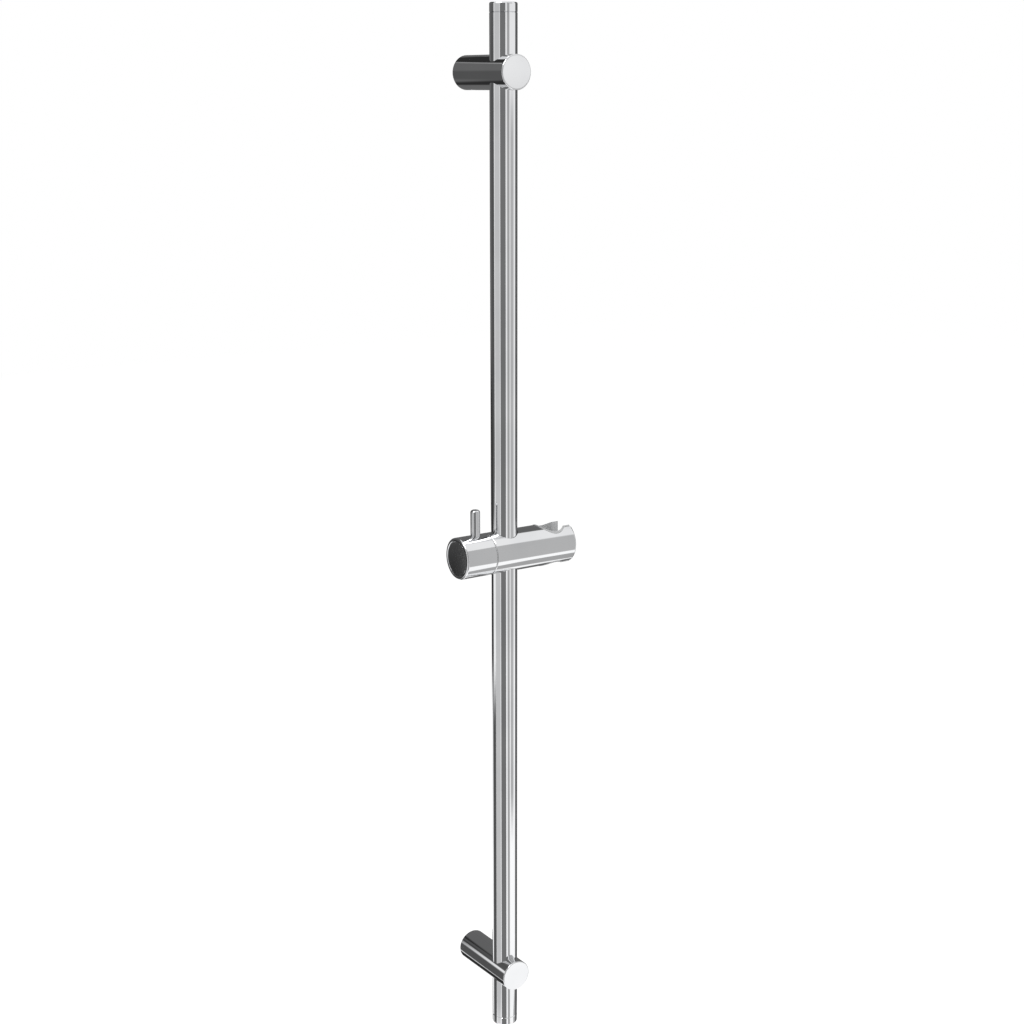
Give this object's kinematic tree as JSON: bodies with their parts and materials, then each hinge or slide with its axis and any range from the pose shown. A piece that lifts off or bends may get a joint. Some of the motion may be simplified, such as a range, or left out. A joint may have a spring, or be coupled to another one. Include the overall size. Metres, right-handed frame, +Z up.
{
  "type": "shower slide rail",
  "caption": "Round chrome shower rail on two wall posts, with a lockable slider that slides and swivels and holds a handset in a tapered, slotted socket.",
  "frame": {"origin": "on the wall plane, midway between the two wall fixing holes", "axes": "+Z up along the rail, +Y into the wall, +X towards the handset holder"},
  "size_m": [0.1085, 0.072, 0.874],
  "materials": {
    "rail_chrome": "polished chrome plate",
    "bracket_chrome": "polished chrome plate",
    "slider_chrome": "polished chrome plate",
    "lever_chrome": "polished chrome plate",
    "screw_steel": "turned stainless steel",
    "turned_brass": "turned, unplated",
    "white_nylon": "moulded nylon",
    "grey_plastic": "moulded, fine matt",
    "seal_rubber": "moulded rubber"
  },
  "bodies": {
    "rail": {"rail_tube": "rail_chrome", "upper_end_cap": "rail_chrome", "lower_end_cap": "rail_chrome", "upper_cap_seal": "seal_rubber", "lower_cap_seal": "seal_rubber", "upper_bracket": "bracket_chrome", "lower_bracket": "bracket_chrome", "upper_wall_boss": "turned_brass", "lower_wall_boss": "turned_brass", "upper_boss_set_screw": "screw_steel", "lower_boss_set_screw": "screw_steel", "upper_rail_screw": "screw_steel", "lower_rail_screw": "screw_steel", "upper_rail_pad": "white_nylon", "lower_rail_pad": "white_nylon"},
    "carriage": {"rail_liner": "white_nylon"},
    "slider": {"slider_body": "slider_chrome", "holder_insert": "grey_plastic", "thrust_washer": "grey_plastic", "spindle_gland": "turned_brass"},
    "knob": {"locking_knob": "slider_chrome", "lever_pin": "lever_chrome", "spindle": "screw_steel", "knob_screw": "screw_steel", "knob_cover": "slider_chrome"},
    "shoe": {"clamp_shoe": "turned_brass"}
  },
  "joints": [
    {"name": "slider_slide", "type": "slide", "parent": "rail", "child": "carriage", "axis": [0, 0, 1], "range_m": [-0.353, 0.353]},
    {"name": "slider_swivel", "type": "hinge", "parent": "carriage", "child": "slider", "pos_m": [0, -0.0535, 0], "axis": [0, 0, 1], "range_deg": [-45, 35]},
    {"name": "knob_turn", "type": "hinge", "parent": "slider", "child": "knob", "pos_m": [-0.032, -0.0535, 0], "axis": [1, 0, 0], "range_deg": [0, 90]},
    {"name": "shoe_draw", "type": "slide", "parent": "slider", "child": "shoe", "axis": [1, 0, 0], "range_m": [-0.0004, 0]}
  ],
  "couplings": [
    {"joint": "shoe_draw", "follows": "knob_turn", "m_per_rad": -0.00023873}
  ]
}
